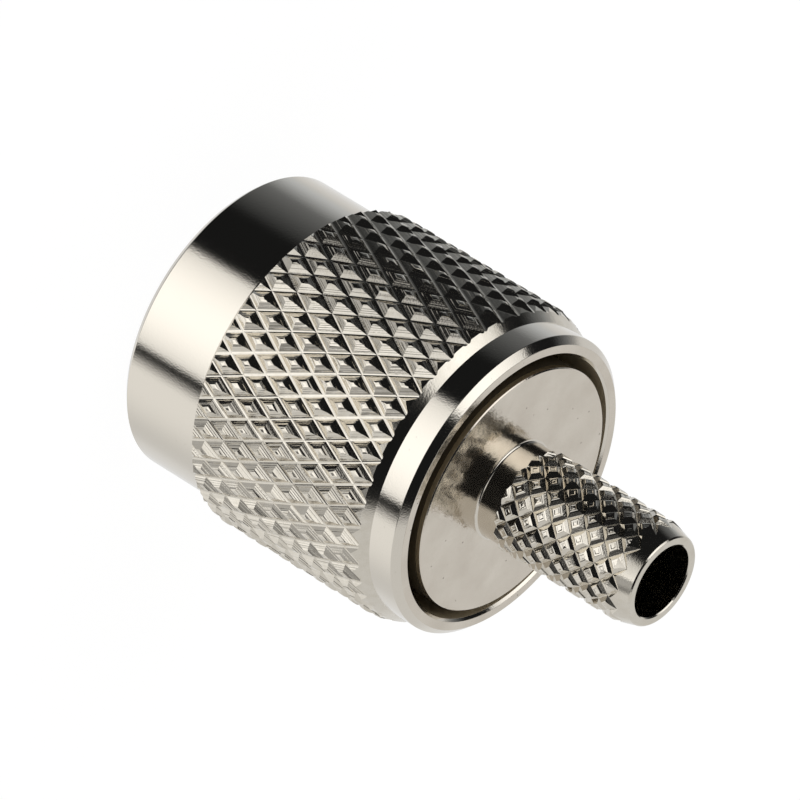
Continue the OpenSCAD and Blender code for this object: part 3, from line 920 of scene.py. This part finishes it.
def make_insulator(material):
    """White insulator with a hollow nose and a stepped hole for the pin."""
    nose_floor = INSULATOR_LOW.z + NOSE_BORE_L
    barrel_z = PIN_TOP.z - BARREL_L - FIT_GAP
    barrel_r = PIN_TOP.x + FIT_GAP
    insulator = turned(
        "insulator_body",
        [
            (NOSE_BORE_R, INSULATOR_LOW.z, SOFT_EDGE),
            (INSULATOR_TOP.x, INSULATOR_LOW.z, ROUND_EDGE),
            (INSULATOR_TOP.x, INSULATOR_TOP.z, ROUND_EDGE),
            (barrel_r, INSULATOR_TOP.z, EDGE),
            (barrel_r, barrel_z, EDGE),
            (SHANK_R + FIT_GAP, barrel_z, EDGE),
            (SHANK_R + FIT_GAP, nose_floor, EDGE),
            (NOSE_BORE_R, nose_floor, NOSE_EDGE),
        ],
        material,
    )
    smooth(insulator)
    return insulator


def make_pin(material):
    """Gold pin with a rounded tip, a shank and a barrel for the wire."""
    nose_floor = INSULATOR_LOW.z + NOSE_BORE_L
    barrel_z = PIN_TOP.z - BARREL_L
    tip = []
    for k in range(PIN_TIP_STEPS + 1):
        angle = math.pi / 2 * k / PIN_TIP_STEPS
        across, along = (PIN_R - PIN_TIP_R) * math.sin(angle), PIN_TIP_L * (1 - math.cos(angle))
        tip.append((PIN_TIP_R + across, PIN_LOW.z + along, 0))
    pin = turned(
        "pin_body",
        [
            (0, PIN_LOW.z, 0),
            *tip,
            (PIN_R, nose_floor, STEP_EDGE),
            (SHANK_R, nose_floor, EDGE),
            (SHANK_R, barrel_z, EDGE),
            (PIN_TOP.x, barrel_z, EDGE),
            (PIN_TOP.x, PIN_TOP.z, EDGE),
            (WIRE_BORE_R, PIN_TOP.z, EDGE),
            (WIRE_BORE_R, PIN_TOP.z - WIRE_BORE_L, EDGE),
            (0, PIN_TOP.z - WIRE_BORE_L, 0),
        ],
        material,
        segments=PIN_SEGMENTS,
    )
    smooth(pin)
    return pin


def make_gasket(material):
    """Flat sealing ring round the sleeve."""
    gasket = turned(
        "sealing_ring",
        [
            (GASKET_BORE_R, GASKET_LOW.z, ROUND_EDGE),
            (GASKET_TOP.x, GASKET_LOW.z, ROUND_EDGE),
            (GASKET_TOP.x, GASKET_TOP.z, ROUND_EDGE),
            (GASKET_BORE_R, GASKET_TOP.z, ROUND_EDGE),
        ],
        material,
    )
    smooth(gasket)
    return gasket


def make_ring(material):
    """Split spring ring between the nut and the body."""
    ring = turned(
        "split_ring",
        [
            (RING_BORE_R, RING_LOW.z, SOFT_EDGE),
            (RING_TOP.x, RING_LOW.z, SOFT_EDGE),
            (RING_TOP.x, RING_TOP.z, SOFT_EDGE),
            (RING_BORE_R, RING_TOP.z, SOFT_EDGE),
        ],
        material,
    )
    low = (0, -RING_SPLIT / 2, RING_LOW.z - CLEAR)
    high = (RING_TOP.x + CLEAR, RING_SPLIT / 2, RING_TOP.z + CLEAR)
    cut(ring, boxes("split", low, high, [RING_SPLIT_TURN]))
    smooth(ring)
    return ring


# Studio


def make_floor():
    """White paper floor under the nut's front face: plain but for a faint shadow, and not mirrored."""
    corners = [(x * FLOOR_HALF, y * FLOOR_HALF, FLOOR_Z) for x, y in ((-1, -1), (1, -1), (1, 1), (-1, 1))]
    floor = new_piece("floor", corners, [(0, 1, 2, 3)])
    material, tree, shader = new_material("white_paper_floor")
    shader.inputs["Base Color"].default_value = linear("#F4F3F1")
    shader.inputs["Roughness"].default_value = 0.9
    path = add(tree, "ShaderNodeLightPath")
    white = add(tree, "ShaderNodeEmission", {"Strength": FLOOR_WHITE})
    clear = add(tree, "ShaderNodeBsdfTransparent")
    camera_ray = path.outputs["Is Camera Ray"]
    seen = add(tree, "ShaderNodeMath", {0: camera_ray, 1: FLOOR_SHARE}, operation="MULTIPLY")
    paper = add(tree, "ShaderNodeMixShader", {0: seen, 1: shader, 2: white})
    back = add(tree, "ShaderNodeNewGeometry").outputs["Backfacing"]
    hidden = add(tree, "ShaderNodeMath", {0: back, 1: path.outputs["Is Glossy Ray"]}, operation="MAXIMUM")
    shown = add(tree, "ShaderNodeMixShader", {0: hidden, 1: paper, 2: clear})
    tree.links.new(shown.outputs[0], tree.nodes["Material Output"].inputs["Surface"])
    floor.data.materials.append(material)


def make_studio(turn):
    """The room that the metal mirrors, laid out from the camera: a white table and sweep, and soft panels."""
    world = bpy.data.worlds.new("studio")
    bpy.context.scene.world = world
    world.use_nodes = True
    tree = world.node_tree
    right, up, front = (turn.col[k] for k in range(3))
    place = add(tree, "ShaderNodeTexCoord").outputs["Generated"]
    to_left, to_edge, to_back, to_sweep = (
        add(tree, "ShaderNodeVectorMath", {0: place, 1: axis}, operation="DOT_PRODUCT").outputs["Value"]
        for axis in (-right, -up - front, -front, -front - SWEEP_LEAN * up)
    )

    # The table ends a little in front of the plug and is brighter on the left
    start, end = TABLE_LEFT_SPAN
    span = {"Value": to_left, "From Min": start, "From Max": end, "To Min": 0.0, "To Max": TABLE_LEFT_LIGHT}
    left = add(tree, "ShaderNodeMapRange", span, interpolation_type="SMOOTHSTEP")
    level = add(tree, "ShaderNodeMath", {0: left, 1: TABLE_LIGHT}, operation="ADD")
    start, end = TABLE_EDGE_SPAN
    span = {"Value": to_edge, "From Min": start, "From Max": end}
    on_table = add(tree, "ShaderNodeMapRange", span, interpolation_type="SMOOTHSTEP")
    table = add(tree, "ShaderNodeMath", {0: level, 1: on_table}, operation="MULTIPLY")

    # The sweep behind it fades towards the top, ends at both sides and is a little cooler
    sweep = 0.0
    for start, end, gain in SWEEP:
        span = {"Value": to_sweep, "From Min": start, "From Max": end, "To Min": 0.0, "To Max": gain}
        step = add(tree, "ShaderNodeMapRange", span)
        sweep = add(tree, "ShaderNodeMath", {0: step, 1: sweep}, operation="ADD")
    aside = add(tree, "ShaderNodeMath", {0: to_left}, operation="ABSOLUTE")
    width = add(tree, "ShaderNodeMath", {0: to_back, 1: SWEEP_HALF_WIDTH}, operation="MULTIPLY")
    inside = add(tree, "ShaderNodeMath", {0: width, 1: aside}, operation="SUBTRACT")
    start, end = SWEEP_SIDE_SPAN
    span = {"Value": inside, "From Min": start, "From Max": end}
    on_sweep = add(tree, "ShaderNodeMapRange", span, interpolation_type="SMOOTHSTEP")
    sweep = add(tree, "ShaderNodeMath", {0: sweep, 1: on_sweep, 2: DARK_LIGHT}, operation="MULTIPLY_ADD")
    light = add(tree, "ShaderNodeMath", {0: table, 1: sweep}, operation="MAXIMUM")
    cool = add(tree, "ShaderNodeMath", {0: light, 1: table}, operation="SUBTRACT")

    for azimuth, edges, spot, spreads, strength in PANELS:
        swing = math.radians(azimuth)
        middle = right * math.sin(swing) + front * math.cos(swing)
        across = right * math.cos(swing) - front * math.sin(swing)
        face, u, v = (
            add(tree, "ShaderNodeVectorMath", {0: place, 1: axis}, operation="DOT_PRODUCT").outputs["Value"]
            for axis in (middle, across, up)
        )
        glow = add(tree, "ShaderNodeMath", {0: face, 1: 0.0}, operation="GREATER_THAN")
        fall = 0.0
        for reach, (low, low_soft, high, high_soft), centre, spread in zip((u, v), edges, spot, spreads):
            out = add(tree, "ShaderNodeMath", {0: reach, 1: face}, operation="DIVIDE")
            for edge, soft in ((low, low_soft), (high, -high_soft)):
                span = {"Value": out, "From Min": edge - soft, "From Max": edge + soft}
                lit = add(tree, "ShaderNodeMapRange", span, interpolation_type="SMOOTHSTEP")
                glow = add(tree, "ShaderNodeMath", {0: glow, 1: lit}, operation="MULTIPLY")
            off = add(tree, "ShaderNodeMath", {0: out, 1: centre}, operation="SUBTRACT")
            square = add(tree, "ShaderNodeMath", {0: off, 1: off}, operation="MULTIPLY")
            narrow = -1 / (2 * spread * spread)
            fall = add(tree, "ShaderNodeMath", {0: square, 1: narrow, 2: fall}, operation="MULTIPLY_ADD")
        fade = add(tree, "ShaderNodeMath", {0: fall}, operation="EXPONENT")
        glow = add(tree, "ShaderNodeMath", {0: glow, 1: fade}, operation="MULTIPLY")
        light = add(tree, "ShaderNodeMath", {0: glow, 1: strength, 2: light}, operation="MULTIPLY_ADD")

    tinted = add(tree, "ShaderNodeVectorMath", {0: cool, 1: SWEEP_TINT, 2: light}, operation="MULTIPLY_ADD")
    shine = add(tree, "ShaderNodeBackground", {"Color": tinted, "Strength": 1.0})
    white = add(tree, "ShaderNodeBackground", {"Color": (1, 1, 1, 1), "Strength": 1.0})
    seen = add(tree, "ShaderNodeLightPath").outputs["Is Camera Ray"]
    mixed = add(tree, "ShaderNodeMixShader", {0: seen, 1: shine, 2: white})
    tree.links.new(mixed.outputs[0], tree.nodes["World Output"].inputs["Surface"])


def hand_over(pieces, body, node):
    """Lets pieces ride on a body in place of a CAD node."""
    for piece in pieces:
        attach(piece, body)
        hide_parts(node)


make_studio(make_camera())
make_floor()
nickel, rolled = turned_nickel(), rolled_nickel()
hand_over(make_nut(nickel, rolled), "nut", "coupling_nut")
hand_over(make_body(nickel, rolled), "body", "crimp_body")
hand_over([make_sleeve(nickel)], "body", "outer_contact")
hand_over([make_insulator(turned_ptfe())], "body", "insulator")
hand_over([make_pin(gold_flash())], "body", "centre_pin")
hand_over([make_gasket(silicone_rubber())], "body", "gasket")
hand_over([make_ring(spring_bronze())], "ring", "snap_ring")

bpy.context.scene.view_settings.view_transform = "Standard"
